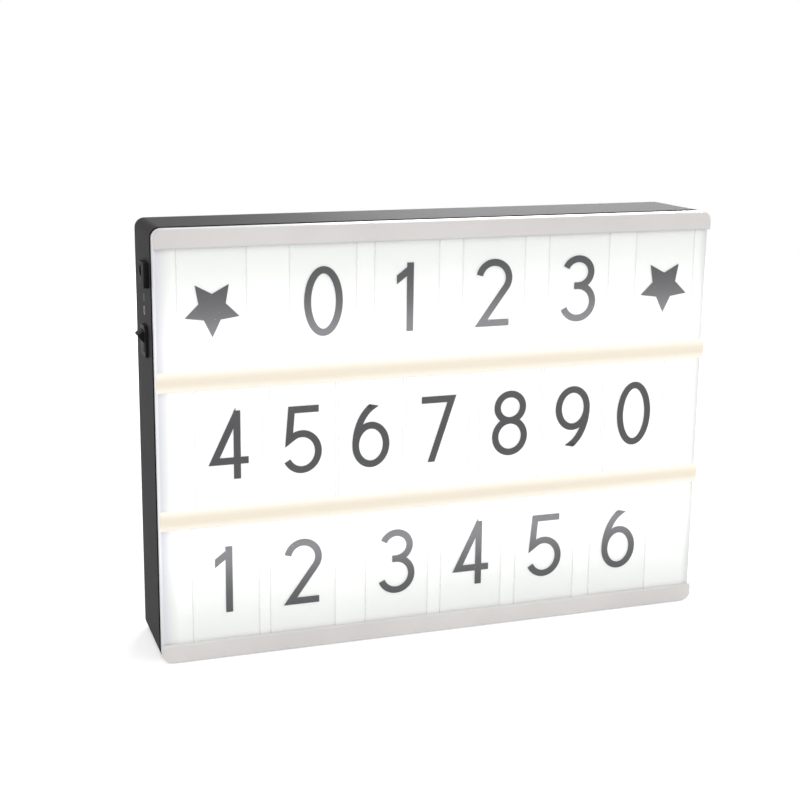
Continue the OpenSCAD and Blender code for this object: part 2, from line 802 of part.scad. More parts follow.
// The rocker as it lies with its upper end out. Its two faces meet in a shallow V.
module switch_rocker() {
    pivot_len = rocker_w + 2 * (rocker_clear + 0.75);
    color("#1d1c1e") translate([wall_x - pivot_u, 0, switch_z]) rotate([0, -rocker_tilt, 0]) {
        plate_y(switch_y - rocker_w / 2, rocker_w) difference() {
            rocker_outline(rocker_r, 3);
            // the V is cut down to the two faces
            face = facet_u / cos(rocker_tilt);
            rise = 2 * rocker_r * tan(rocker_tilt);
            polygon([[-face, 0], [-face - rise, 2 * rocker_r], [-4 * rocker_r, 2 * rocker_r],
                     [-4 * rocker_r, -2 * rocker_r], [-face - rise, -2 * rocker_r]]);
        }
        rod_y(0, switch_y - pivot_len / 2, 0, pivot_len, rocker_pivot_r);
    }
}

module switch_terminals() {
    color("#c9b27c") for (s = [-1, 1])
        translate([wall_x + switch_body_len, switch_y - switch_blade_w / 2,
                   switch_z + s * switch_blade_z - switch_blade_t / 2])
            cube([switch_blade_len, switch_blade_w, switch_blade_t]);
}

// ---------------------------------------------------------------- power socket

// Face plate in Y and Z about the hole: a rounded block, with one corner cut to a larger round.
module socket_face() {
    front = -9;
    rear = 5.2;
    low = -7.9;
    high = 4.7;
    small_r = 1.2;
    big_r = 5;
    for (p = [[front + small_r, low + small_r, small_r], [front + small_r, high - small_r, small_r],
              [rear - small_r, high - small_r, small_r], [rear - big_r, low + big_r, big_r]])
        translate([p[0], p[1]]) circle(p[2]);
    translate([front, low + small_r]) square([rear - big_r - front, high - low - 2 * small_r]);
    translate([front + small_r, low]) square([rear - big_r - front - small_r, high - low]);
    translate([front + small_r, low + big_r])
        square([rear - front - small_r, high - low - big_r - small_r]);
    translate([rear - big_r - eps, high - small_r - eps]) square([big_r - small_r, small_r + eps]);
}

module socket_body() {
    color("#232224") difference() {
        union() {
            bar_x(socket_face_x, socket_proud) translate([socket_y, socket_z]) socket_face();
            rod_x(wall_x - eps, socket_y, socket_z, socket_barrel_end_x - wall_x + eps,
                  socket_barrel_r);
        }
        rod_x(socket_face_x - eps, socket_y, socket_z, socket_hole_len + eps, socket_hole_r);
    }
}

module socket_pin() {
    pin_len = socket_hole_len - 1;
    color("#c9cbce")
        rod_x(socket_floor_x - pin_len, socket_y, socket_z, pin_len, socket_pin_r);
}

// Hexagon nut that holds the socket from inside the wall.
module socket_nut() {
    color("#a9abae") difference() {
        translate([wall_x + housing_wall, socket_y, socket_z]) rotate([0, 90, 0])
            cylinder(h = nut_t, r = nut_r, $fn = 6);
        rod_x(wall_x, socket_y, socket_z, 2 * nut_t + housing_wall, socket_barrel_r + nut_fit);
    }
}

module socket_lugs() {
    color("#c9b27c") for (s = [-1, 0, 1])
        translate([socket_barrel_end_x, socket_y - lug_w / 2, socket_z + s * lug_step - lug_t / 2])
            cube([lug_len, lug_w, lug_t]);
}

// ---------------------------------------------------------------- battery bay

module battery_door() {
    groove_r = 0.7;
    color("#474445") {
        difference() {
            union() {
                translate([-door_w / 2, door_in_y, door_z0])
                    cube([door_w, door_t, hinge_z - door_z0]);
                rod_x(-door_w / 2, hinge_y, hinge_z, door_w, door_bead_r);
            }
            // slots that free the latch tongue, and its finger grooves
            for (sx = [-1, 1])
                translate([sx * (latch_tongue_w + latch_slot_w) / 2 - latch_slot_w / 2,
                           door_in_y - 1, door_z0 - 1])
                    cube([latch_slot_w, door_t + 2, latch_slot_len + 1]);
            for (k = [1 : 4])
                rod_x(-latch_tongue_w / 2 + 2, door_out_y + groove_r / 2,
                      door_z0 + k * latch_slot_len / 5, latch_tongue_w - 4, groove_r);
        }
        // latch foot, drawn pressed in so that it clears its notch
        translate([-latch_w / 2, door_in_y - latch_t, door_z0 + door_seat_gap])
            cube([latch_w, latch_t + eps, latch_t]);
        for (sx = [-1, 1])
            rod_x(sx * (door_w / 2 + door_pin_len / 2) - (door_pin_len + eps) / 2, hinge_y, hinge_z,
                  door_pin_len + eps, door_pin_r);
    }
}

// One cell stands upright, with its small terminal up. It is centred on its own length.
module cell_shape() {
    shoulder = 0.8;
    terminal_h = 1.2;
    can_len = cell_len - terminal_h;
    translate([0, 0, -cell_len / 2]) {
        rotate_extrude() difference() {
            union() {
                square([cell_r - shoulder, can_len]);
                translate([0, shoulder]) square([cell_r, can_len - 2 * shoulder]);
                for (z = [shoulder, can_len - shoulder])
                    translate([cell_r - shoulder, z]) circle(shoulder, $fn = 32);
            }
            translate([-2 * cell_r, -1]) square([2 * cell_r, cell_len + 2]);
        }
        cylinder(h = cell_len, r = 2.7);
    }
}

// A cell's flat end presses on a spring. Every second cell is turned over.
function is_upright(i) = i % 2 == 0;
function cell_shift(i) = (is_upright(i) ? 1 : -1) * (spring_len - cell_slack) / 2;

module battery_cells() {
    color("#3f6f8f") for (i = [0 : cells - 1])
        at_cell(i) translate([0, 0, cell_shift(i)])
            rotate([is_upright(i) ? 0 : 180, 0, 0]) cell_shape();
}

// Conical spring: the wire's centre climbs evenly while its radius shrinks.
module cell_spring() {
    turns = 3;
    steps = 12;
    base_r = 4.6;
    tip_r = 3;
    rise = spring_len - cell_slack - 2 * spring_wire_r;
    q = [
        for (k = [0 : turns * steps])
            let (f = k / (turns * steps), r = base_r + (tip_r - base_r) * f, a = k * 360 / steps)
            [r * cos(a), r * sin(a), cell_slack / 2 + spring_wire_r + rise * f]
    ];
    tube(q, spring_wire_r, unit(q[1] - q[0]), unit(q[turns * steps] - q[turns * steps - 1]), 6);
}

module battery_springs() {
    color("#c4c7ca") for (i = [0 : cells - 1])
        at_cell(i) rotate([is_upright(i) ? 0 : 180, 0, 0])
            translate([0, 0, -bay_h / 2 + contact_t]) cell_spring();
}

// Contact plates lie on the bay's end walls. Pairs join neighbours, and the two end
// plates at the top have a tab through the wall for a wire.
module contact_plate(first, last, z) {
    x0 = (first - (cells - 1) / 2) * cell_pitch - contact_w / 2;
    x1 = (last - (cells - 1) / 2) * cell_pitch + contact_w / 2;
    translate([x0, cell_y - contact_w / 2, z]) cube([x1 - x0, contact_w, contact_t]);
}

module battery_contacts() {
    top = bay_z1 - contact_t;
    color("#c4c7ca") {
        for (i = [0 : 2 : cells - 2]) contact_plate(i, i + 1, bay_z0);
        for (i = [1 : 2 : cells - 3]) contact_plate(i, i + 1, top);
        for (i = [0, cells - 1]) {
            contact_plate(i, i, top);
            translate([(i - (cells - 1) / 2) * cell_pitch - contact_tab_w / 2, tab_y0, top])
                cube([contact_tab_w, contact_t, tab_top - top]);
        }
    }
}

// ---------------------------------------------------------------- wires

module wire_switch_to_leds() {
    z = switch_z + switch_blade_z;
    z_end = board_z(1) - link_offset;
    color("#b3262b") wire([
        [blade_end_x, switch_y, z], [blade_end_x + 2.5, switch_y, z],
        [-link_x - 5, switch_y + 1, z - 2], [-link_x, board_y - 6, z_end],
        [-link_x, board_y - 3, z_end], [-link_x, board_y, z_end]
    ], 4);
}

module wire_socket_to_leds() {
    z = socket_z - lug_step;
    z_end = board_z(1) + link_offset;
    color("#232325") wire([
        [lug_end_x, socket_y, z], [lug_end_x + 3, socket_y, z],
        [-link_x - 2, socket_y, z - 8], [-link_x + 2, socket_y + 1, z_end + 8],
        [-link_x, board_y - 7, z_end + 1], [-link_x, board_y - 3, z_end], [-link_x, board_y, z_end]
    ], 4);
}

module wire_socket_to_switch() {
    z0 = socket_z + lug_step;
    z1 = switch_z - switch_blade_z;
    color("#b3262b") wire([
        [lug_end_x, socket_y, z0], [lug_end_x + 3, socket_y, z0],
        [lug_end_x + 8, socket_y - 4, z0 - 6], [lug_end_x + 9, socket_y - 5, z0 - 18],
        [lug_end_x + 9, socket_y - 5, z1 + 10], [blade_end_x + 8, switch_y - 6, z1 + 2],
        [blade_end_x + 3, switch_y, z1], [blade_end_x, switch_y, z1]
    ], 4);
}

module wire_battery_positive() {
    color("#b3262b") wire([
        [-tab_x, tab_y, tab_top], [-tab_x, tab_y, tab_top + 4],
        [-tab_x - 8, lead_back_y, tab_top + 16],
        [-board_screw_x + 34, lead_back_y, board_z(1)],
        [-board_screw_x + 6, lead_front_y + 3, socket_z - 5],
        [-link_x - 3, lead_front_y + 2, socket_z],
        [-link_x - 8, reflector_y - 2, socket_z + 0.5], [lug_end_x + 9, socket_y + 3, socket_z],
        [lug_end_x + 3, socket_y, socket_z], [lug_end_x, socket_y, socket_z]
    ], 4);
}

module wire_battery_negative() {
    z = board_z(1);
    color("#232325") wire([
        [tab_x, tab_y, tab_top], [tab_x, tab_y, tab_top + 4],
        [tab_x - 10, lead_front_y, tab_top + 12], [0, lead_front_y, tab_top + 18],
        [-tab_x, lead_front_y, z - 26], [-feed_x + 14, lead_front_y + 1, z - 5],
        [-feed_x + 3, lead_front_y, z], [-feed_x, reflector_y + 3, z], [-feed_x, board_y + board_t, z]
    ], 4);
}

// Two wires down the right side join the upper board to the lower one, behind the reflector.
module board_links() {
    start = board_y + board_t;
    lead = 4 * wire_r;
    reach = start + 8 * wire_r;
    z0 = link_ends[0];
    z1 = link_ends[1];
    color("#b3262b") for (x = [link_x, link_x - link_step])
        wire([
            [x, start, z0], [x, start + lead, z0], [x, reach, z0 + lead],
            [x, reach, (z0 + z1) / 2],
            [x, reach, z1 - lead], [x, start + lead, z1], [x, start, z1]
        ], 4);
}

// ---------------------------------------------------------------- parts

rear_housing();
front_cover();
rail_top();
rail_upper();
rail_lower();
rail_bottom();
card(2, 0);  // card_top_1
card(2, 1);  // card_top_2
card(2, 2);  // card_top_3
card(2, 3);  // card_top_4
card(2, 4);  // card_top_5
card(2, 5);  // card_top_6
card(1, 0);  // card_middle_1
card(1, 1);  // card_middle_2
card(1, 2);  // card_middle_3
card(1, 3);  // card_middle_4
card(1, 4);  // card_middle_5
card(1, 5);  // card_middle_6
card(1, 6);  // card_middle_7
card(0, 0);  // card_bottom_1
card(0, 1);  // card_bottom_2
card(0, 2);  // card_bottom_3
card(0, 3);  // card_bottom_4
card(0, 4);  // card_bottom_5
card(0, 5);  // card_bottom_6
reflector_sheet();
led_board_upper();
led_board_lower();
leds();
resistors();
board_screws();
housing_screws();
switch_frame();
switch_rocker();
switch_terminals();
socket_body();
socket_pin();
socket_nut();
socket_lugs();
battery_door();
battery_cells();
battery_springs();
battery_contacts();
wire_switch_to_leds();
wire_socket_to_leds();
wire_socket_to_switch();
wire_battery_positive();
wire_battery_negative();
board_links();
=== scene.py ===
import math

import bmesh
import bpy
import numpy as np
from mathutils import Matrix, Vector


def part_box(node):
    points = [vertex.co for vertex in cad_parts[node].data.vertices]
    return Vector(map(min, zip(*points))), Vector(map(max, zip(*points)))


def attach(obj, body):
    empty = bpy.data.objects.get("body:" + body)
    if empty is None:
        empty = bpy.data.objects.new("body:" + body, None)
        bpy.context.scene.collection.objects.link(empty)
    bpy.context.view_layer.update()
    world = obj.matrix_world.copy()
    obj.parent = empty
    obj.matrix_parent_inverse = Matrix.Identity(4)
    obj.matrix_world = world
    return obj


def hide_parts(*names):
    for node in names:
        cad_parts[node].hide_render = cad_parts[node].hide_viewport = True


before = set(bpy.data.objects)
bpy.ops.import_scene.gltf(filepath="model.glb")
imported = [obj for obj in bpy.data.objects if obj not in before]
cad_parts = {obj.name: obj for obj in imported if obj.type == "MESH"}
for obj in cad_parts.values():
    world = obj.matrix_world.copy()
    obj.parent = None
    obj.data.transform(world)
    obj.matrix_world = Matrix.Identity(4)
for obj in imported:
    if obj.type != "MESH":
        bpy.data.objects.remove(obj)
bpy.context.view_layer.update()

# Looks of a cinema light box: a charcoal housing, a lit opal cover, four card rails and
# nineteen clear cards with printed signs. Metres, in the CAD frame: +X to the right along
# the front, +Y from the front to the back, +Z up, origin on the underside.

MM = 0.001

# ---------------------------------------------------------------- sizes, from the frame


def middle(node):
    """Middle of a CAD node's box."""
    low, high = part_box(node)
    return (low + high) / 2


cover_low, cover_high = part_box("front_cover")
half_w = cover_high.x
box_h = cover_high.z
panel_y = cover_low.y
front_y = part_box("rail_top")[0].y
left_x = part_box("rear_housing")[0].x
rim_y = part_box("rear_housing")[0].y
rail_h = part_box("rail_bottom")[1].z
lamp_heights = [middle("led_board_" + level).z for level in ("lower", "upper")]

# The signs of each row of cards, from left to right. A star is written as *
ROWS = {"top": "*0123*", "middle": "4567890", "bottom": "123456"}

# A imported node's material bears the name of its slot, so it is read before it is replaced
slots = {node: shape.data.materials[0].name for node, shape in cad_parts.items()}

# ---------------------------------------------------------------- meshes

# For the rounded copies of CAD nodes: corners nearer than MERGE are one corner, faces less
# than FLAT apart are one face, and an edge sharper than SHARP gets a fillet
MERGE = 0.001 * MM
FLAT = math.radians(1)
SHARP = math.radians(30)
FILLET_SEGMENTS = 3


def put_object(name, data):
    """An object of a mesh, lamp or camera, put into the scene."""
    thing = bpy.data.objects.new(name, data)
    bpy.context.scene.collection.objects.link(thing)
    return thing


def put_mesh(name, shells, material, body):
    """One piece from closed shells. A shell is (points, faces)."""
    points = []
    faces = []
    for shell_points, shell_faces in shells:
        faces += [[int(i) + len(points) for i in face] for face in shell_faces]
        points += [tuple(map(float, point)) for point in shell_points]
    mesh = bpy.data.meshes.new(name)
    mesh.from_pydata(points, [], faces)
    mesh.materials.append(material)
    mesh.validate()
    piece = put_object(name, mesh)
    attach(piece, body)


def ring_faces(rings, around, closed):
    """Quads between neighbouring rings of a tube, and its two end faces if it isn't closed."""
    i = np.arange(rings if closed else rings - 1)[:, None]
    k = np.arange(around)[None, :]
    a = i * around + k
    b = i * around + (k + 1) % around
    total = around * rings
    quads = np.stack([a, b, (b + around) % total, (a + around) % total], -1).reshape(-1, 4)
    faces = quads.tolist()
    if not closed:
        faces.append(list(range(around))[::-1])
        faces.append(list(range(total - around, total)))
    return faces


def stroke(path, half, y_front, y_back, closed=False, cuts=(None, None)):
    """A flat stroke of constant width along a path in X and Z, with a thickness in Y.

    Each path point gets two edge points, at plus and minus half times (n1 + n2) / (1 + n1.n2),
    where n1 and n2 are the normals of the legs before and after it. An end is cut square, or
    along the direction that cuts gives.
    """
    path = np.asarray(path, float)
    legs = (np.roll(path, -1, 0) - path) if closed else np.diff(path, axis=0)
    legs /= np.linalg.norm(legs, axis=1)[:, None]
    normals = np.stack([-legs[:, 1], legs[:, 0]], 1)
    before = np.roll(normals, 1, 0) if closed else np.vstack([normals[:1], normals])
    after = normals if closed else np.vstack([normals, normals[-1:]])
    offset = half * (before + after) / (1 + (before * after).sum(1))[:, None]
    for end, cut in zip((0, -1), cuts):
        if cut is not None:
            offset[end] = half * np.array(cut) / (np.array(cut) @ after[end])
    left, right = path + offset, path - offset
    corners = [(left, y_front), (right, y_front), (right, y_back), (left, y_back)]
    points = np.stack([np.insert(edge, 1, y, axis=1) for edge, y in corners], 1)
    return points.reshape(-1, 3), ring_faces(len(path), len(corners), closed)


def arc(cx, cz, rx, rz, start, end, steps=28):
    """Ellipse arc: the centre plus (rx cos a, rz sin a), with a from start to end degrees."""
    a = np.radians(np.linspace(start, end, steps + 1))
    return np.stack([cx + rx * np.cos(a), cz + rz * np.sin(a)], 1)


def loop(cx, cz, rx, rz, steps=56):
    """Whole ellipse, clockwise from its top, without its last point."""
    return arc(cx, cz, rx, rz, 90, -270, steps)[:-1]


def prism(outline, centre, y_front, y_back):
    """A flat shape with a thickness in Y: a fan from its centre on both faces, and its rim."""
    n = len(outline)
    front = np.insert(np.asarray(outline, float), 1, y_front, axis=1)
    back = np.insert(np.asarray(outline, float), 1, y_back, axis=1)
    ends = [(centre[0], y_front, centre[1]), (centre[0], y_back, centre[1])]
    k = np.arange(n)
    j = (k + 1) % n
    faces = np.stack([np.full(n, 2 * n), k, j], 1).tolist()
    faces += np.stack([np.full(n, 2 * n + 1), n + j, n + k], 1).tolist()
    faces += np.stack([k, n + k, n + j, j], 1).tolist()
    return np.vstack([front, back, ends]), faces


def rounded(node, body, radius):
    """A CAD node with its edges rounded: its triangles are merged into whole faces, then a
    Bevel gives each sharp edge a fillet of the radius."""
    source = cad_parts[node]
    shape = bmesh.new()
    shape.from_mesh(source.data)
    bmesh.ops.remove_doubles(shape, verts=shape.verts, dist=MERGE)
    bmesh.ops.dissolve_limit(shape, angle_limit=FLAT, verts=shape.verts, edges=shape.edges)
    mesh = bpy.data.meshes.new(f"{node}_rounded")
    shape.to_mesh(mesh)
    shape.free()
    mesh.materials.clear()
    mesh.materials.append(source.data.materials[0])
    mesh.shade_smooth()
    piece = put_object(f"{node}_rounded", mesh)
    bevel = piece.modifiers.new("edges", "BEVEL")
    bevel.width = radius
    bevel.segments = FILLET_SEGMENTS
    bevel.limit_method = "ANGLE"
    bevel.angle_limit = SHARP
    bevel.harden_normals = True
    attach(piece, body)
    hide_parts(node)


# ---------------------------------------------------------------- signs on the cards

# Signs are drawn in mm, in X from the card's middle and in Z from the sign's foot. IN is from
# the outside of a sign to the centre line of its strokes
SIGN_H = 35
SIGN_W = 20
STROKE = 3.6
IN = STROKE / 2
TOP = SIGN_H - IN
REACH = SIGN_W / 2 - IN
ACROSS = (1, 0)
UPRIGHT = (0, 1)

# From the card's foot to the sign's foot, the print's thickness, and how much thicker each
# further stroke of a digit is
SIGN_FOOT = 16.1
INK_T = 0.05
THICKER = 0.2


def digit_strokes(sign):
    """Centre lines of a digit's strokes. Each is (path, closed, end cuts). Bowls are ellipse
    arcs, stems and bars are straight lines."""
    square = (None, None)
    low_r = 8.6
    high_r = (TOP - IN) / 2 - low_r
    waist_x = -2.6
    bar_z = 9.4
    five_r = 9.4
    six_r = 10.2
    six_lean = 6.2
    six = [(loop(0, IN + six_r, REACH, six_r), True, square),
           (arc(six_lean, IN + six_r, REACH + six_lean, TOP - IN - six_r + 0.6, 180, 112), False,
            (None, ACROSS))]
    # a nine is a six turned half round
    nine = [(np.array([0, SIGN_H]) - path, closed, cuts) for path, closed, cuts in six]
    lines = {
        "0": [(loop(0, SIGN_H / 2, REACH, SIGN_H / 2 - IN), True, square)],
        "1": [([(1.6, 0), (1.6, SIGN_H)], False, square),
              ([(2.4, SIGN_H - 2.6), (-5.6, SIGN_H - 8.6)], False, (UPRIGHT, UPRIGHT))],
        "2": [(np.vstack([arc(0, TOP - REACH, REACH, REACH, 168, -32),
                          [(-REACH + 1.4, IN), (REACH + 0.4, IN)]]), False, square)],
        "3": [(np.vstack([arc(-0.4, TOP - high_r, REACH - 0.8, high_r, 158, -90),
                          [(waist_x, TOP - 2 * high_r)]]), False, square),
              (np.vstack([[(waist_x, IN + 2 * low_r)],
                          arc(-0.4, IN + low_r, REACH + 0.3, low_r, 90, -158)]), False, square)],
        "4": [([(4.2, 0), (4.2, SIGN_H)], False, square),
              ([(3.6, SIGN_H - 2.4), (-REACH + 0.6, bar_z), (SIGN_W / 2, bar_z)], False,
               (UPRIGHT, None))],
        "5": [(np.vstack([[(REACH, TOP), (-REACH + 2.2, TOP), (-REACH + 0.9, 17.6)],
                          arc(-0.6, IN + five_r, REACH + 0.4, five_r, 118, -152)]), False, square)],
        "6": six,
        "7": [([(-REACH - 0.8, TOP), (REACH - 0.6, TOP), (-3.4, 0)], False, (None, ACROSS))],
        "8": [(loop(0, IN + low_r, REACH, low_r), True, square),
              (loop(0, TOP - high_r, REACH - 1, high_r), True, square)],
        "9": nine,
    }
    return lines[sign]


def star_outline():
    """Five-pointed star with one point down: ten corners at equal angles, at two radii in
    turn. Returns the corners and the centre's height."""
    corners = 10
    point_r = 14.3
    notch_r = 7.1
    centre_z = 16.7
    k = np.arange(corners)
    angle = np.radians(-90 + 360 / corners * k)
    r = np.where(k % 2 == 0, point_r, notch_r)
    return np.stack([r * np.cos(angle), centre_z + r * np.sin(angle)], 1), centre_z


def sign_shells(sign, x, z, y_film):
    """Closed shells of one sign, printed on a film's front at y_film. Each stroke of a digit
    is a hair thicker than the one before, so that no two faces lie in one plane."""
    y_in = y_film + INK_T * MM / 2
    place = np.array([x, z])
    if sign == "*":
        outline, centre_z = star_outline()
        return [prism(place + outline * MM, place + np.array([0, centre_z]) * MM,
                      y_film - INK_T * MM, y_in)]
    return [stroke(place + np.asarray(path) * MM, IN * MM,
                   y_film - (1 + THICKER * i) * INK_T * MM, y_in, closed, cuts)
            for i, (path, closed, cuts) in enumerate(digit_strokes(sign))]


def card_edge(node):
    """Frame of the film's cut edge: a thin square section carried round the card's outline,
    whose corners are quarter circles."""
    corner = 1.0 * MM
    width = 0.45 * MM
    proud = 0.02 * MM
    corner_steps = 6
    low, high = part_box(node)
    r = corner - width / 2
    corners = [(high.x - corner, high.z - corner, 90), (high.x - corner, low.z + corner, 0),
               (low.x + corner, low.z + corner, -90), (low.x + corner, high.z - corner, -180)]
    path = np.vstack([arc(cx, cz, r, r, start, start - 90, corner_steps) for cx, cz, start in corners])
    return stroke(path, width / 2, low.y - proud, high.y + proud, closed=True)


# ---------------------------------------------------------------- materials

# How far a grain's bump goes, and the detail of the noise in grains and in wide patches
GRAIN_STRENGTH = 0.6
GRAIN_DETAIL = 3.0
CLOUD_DETAIL = 2.0

# A grain size and a depth that many finishes share
FINE = 0.3 * MM
SHALLOW = 0.01 * MM

# Sockets of a Mix node that mixes colours: its factor, its two colours and its result
FACTOR, FIRST, SECOND = 0, 6, 7
MIXED = 2


def colour(code):
    """Linear RGBA of an sRGB hex value: c / 12.92 near black, or ((c + 0.055) / 1.055) ** 2.4."""
    srgb = np.array([int(code[i:i + 2], 16) for i in (1, 3, 5)]) / 255
    linear = np.where(srgb <= 0.04045, srgb / 12.92, ((srgb + 0.055) / 1.055) ** 2.4)
    return (*map(float, linear), 1.0)


def add_node(tree, kind, inputs=None, out=0, **settings):
    """Adds a shader node with its settings and its inputs, by name or number: a value is set
    and a socket is linked. Returns the output named or numbered by out."""
    node = tree.nodes.new("ShaderNode" + kind)
    for name, value in settings.items():
        setattr(node, name, value)
    for name, value in (inputs or {}).items():
        if isinstance(value, bpy.types.NodeSocket):
            tree.links.new(value, node.inputs[name])
        else:
            node.inputs[name].default_value = value
    return node.outputs[out]


def new_material(name, **sockets):
    """A material with one Principled shader whose constant sockets are set directly. Returns
    the material, its tree, its shader and the Object coordinates."""
    material = bpy.data.materials.new(name)
    material.use_nodes = True
    tree = material.node_tree
    shader = tree.nodes["Principled BSDF"]
    for socket, value in sockets.items():
        shader.inputs[socket.replace("_", " ")].default_value = value
    place = add_node(tree, "TexCoord", out="Object")
    return material, tree, shader, place


def grain(tree, place, shader, size, depth, rough):
    """Moulded or rolled surface: noise of a grain size in metres gives bump of a depth in
    metres, and swings the roughness between two values."""
    noise = add_node(tree, "TexNoise", {"Vector": place, "Scale": 1 / size, "Detail": GRAIN_DETAIL})
    bump = add_node(tree, "Bump", {"Height": noise, "Distance": depth, "Strength": GRAIN_STRENGTH})
    tree.links.new(bump, shader.inputs["Normal"])
    swing = add_node(tree, "MapRange", {"Value": noise, "To Min": rough[0], "To Max": rough[1]})
    tree.links.new(swing, shader.inputs["Roughness"])


def moulded(name, dark, light, grain_size, rough, patch=25 * MM, depth=0.02 * MM, **sockets):
    """Injection-moulded plastic: two near shades in wide soft patches, and a fine grain."""
    material, tree, shader, place = new_material(name, **sockets)
    cloud = add_node(tree, "TexNoise", {"Vector": place, "Scale": 1 / patch, "Detail": CLOUD_DETAIL})
    spread = add_node(tree, "MapRange", {"Value": cloud, "From Min": 0.35, "From Max": 0.65})
    shade = add_node(tree, "Mix", {FACTOR: spread, FIRST: colour(dark), SECOND: colour(light)},
                     out=MIXED, data_type="RGBA")
    tree.links.new(shade, shader.inputs["Base Color"])
    grain(tree, place, shader, grain_size, depth, rough)
    return material


def housing_abs():
    """ABS from a spark-eroded mould: charcoal, satin, with a fine even grain. The rounded rim
    beside the gap to the cover is matt, with a painted shade: near black, standing in for the
    shadow in the gap."""
    rim_shade_starts = 1.0 * MM
    rim_shade_full = 0.6 * MM
    material = moulded("abs_charcoal", "#201D21", "#242124", 0.45 * MM, (0.62, 0.74),
                       patch=45 * MM, Specular_IOR_Level=0.13)
    tree = material.node_tree
    shader = tree.nodes["Principled BSDF"]
    place = add_node(tree, "TexCoord", out="Object")
    y = add_node(tree, "SeparateXYZ", {0: place}, out="Y")
    # Painted shade: near the front rim the colour goes to near black and the roughness to full, for
    # the shadow in the gap to the cover
    rim = add_node(tree, "MapRange", {"Value": y, "From Min": rim_y + rim_shade_starts,
                                      "From Max": rim_y + rim_shade_full})
    plain = shader.inputs["Base Color"].links[0].from_socket
    shade = add_node(tree, "Mix", {FACTOR: rim, FIRST: plain, SECOND: colour("#0A090B")},
                     out=MIXED, data_type="RGBA")
    tree.links.new(shade, shader.inputs["Base Color"])
    rough = shader.inputs["Roughness"].links[0].from_socket
    matt = add_node(tree, "Math", {0: rough, 1: rim}, operation="MAXIMUM")
    tree.links.new(matt, shader.inputs["Roughness"])
    return material


def metal(name, code, rough):
    """Plated or rolled metal: one colour, full metallic, fine grain."""
    material, tree, shader, place = new_material(name, Base_Color=colour(code), Metallic=1.0)
    grain(tree, place, shader, FINE, SHALLOW, rough)
    return material


def lamp_light(tree, z):
    """Light that reaches a height from both boards: the sum of 1 / (1 + (d / spread)^2), where
    d is how far a board is above or below."""
    spread = 15 * MM
    near = []
    for lamp_z in lamp_heights:
        d = add_node(tree, "Math", {0: z, 1: lamp_z}, operation="SUBTRACT")
        d = add_node(tree, "Math", {0: d, 1: spread}, operation="DIVIDE")
        squared = add_node(tree, "Math", {0: d, 1: d, 2: 1.0}, operation="MULTIPLY_ADD")
        near.append(add_node(tree, "Math", {0: 1.0, 1: squared}, operation="DIVIDE"))
    return add_node(tree, "Math", {0: near[0], 1: near[1]}, operation="ADD")


